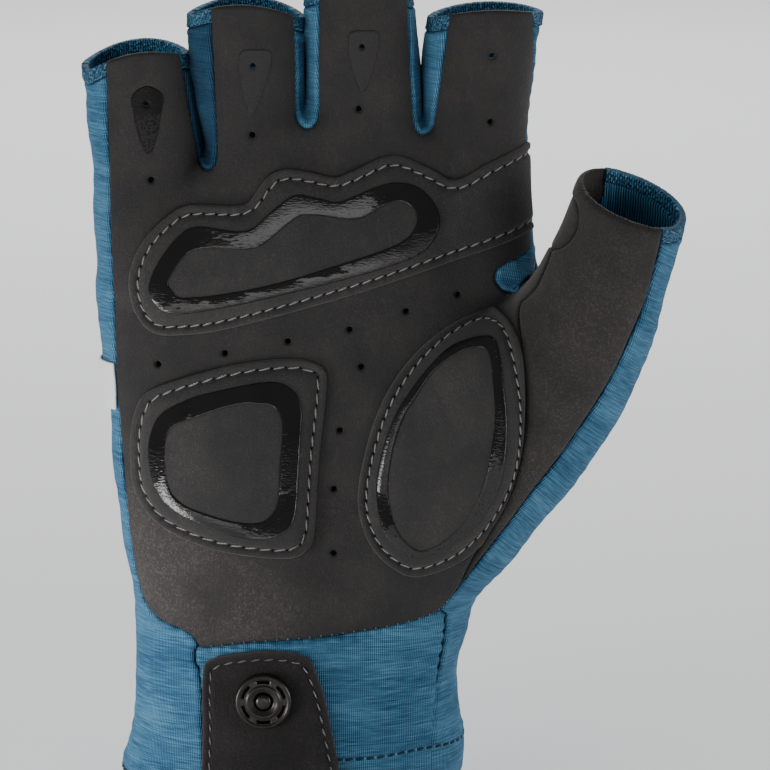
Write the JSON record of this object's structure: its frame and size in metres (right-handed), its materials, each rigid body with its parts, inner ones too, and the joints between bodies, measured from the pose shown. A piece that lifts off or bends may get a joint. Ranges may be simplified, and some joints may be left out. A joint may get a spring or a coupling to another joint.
{
  "type": "fingerless paddling glove",
  "caption": "Right-hand glove with open finger ends, suede-like palm with sewn pads and glossy grip bands, knit back, and a snap tab at the wrist.",
  "frame": {"origin": "middle of the wrist opening, level with the bottom of the cuff hem", "axes": "+X to the thumb side, +Y out of the back of the hand, +Z from the wrist to the fingertips"},
  "size_m": [0.1269, 0.056, 0.1825],
  "materials": {
    "suede": "matte grey-brown suede-like leather",
    "pad_suede": "matte dark grey suede-like leather over foam",
    "knit": "blue heather stretch knit with fine ribs",
    "gore_knit": "blue heather stretch knit",
    "binding": "overlocked knit edge",
    "grip_film": "glossy black silicone-like film",
    "snap_metal": "black painted snap fastener",
    "white_weave": "plain white woven patch"
  },
  "bodies": {
    "root": {"palm_panel": "suede", "thumb_panel": "suede", "thumb_gusset": "suede", "back_panel": "knit", "fourchette_little_ring": "gore_knit", "fourchette_ring_middle": "gore_knit", "fourchette_middle_index": "gore_knit", "cuff_front": "knit", "cuff_hem": "knit", "knuckle_pad": "pad_suede", "heel_pad": "pad_suede", "thenar_pad": "pad_suede", "knuckle_band": "grip_film", "heel_band": "grip_film", "thenar_band": "grip_film", "grip_print_little": "grip_film", "grip_print_ring": "grip_film", "grip_print_middle": "grip_film", "rim_little": "binding", "rim_ring": "binding", "rim_middle": "binding", "rim_index": "binding", "rim_thumb": "binding", "pull_tab": "pad_suede", "snap_ring": "snap_metal", "snap_centre": "snap_metal", "side_patch": "white_weave"}
  },
  "joints": []
}
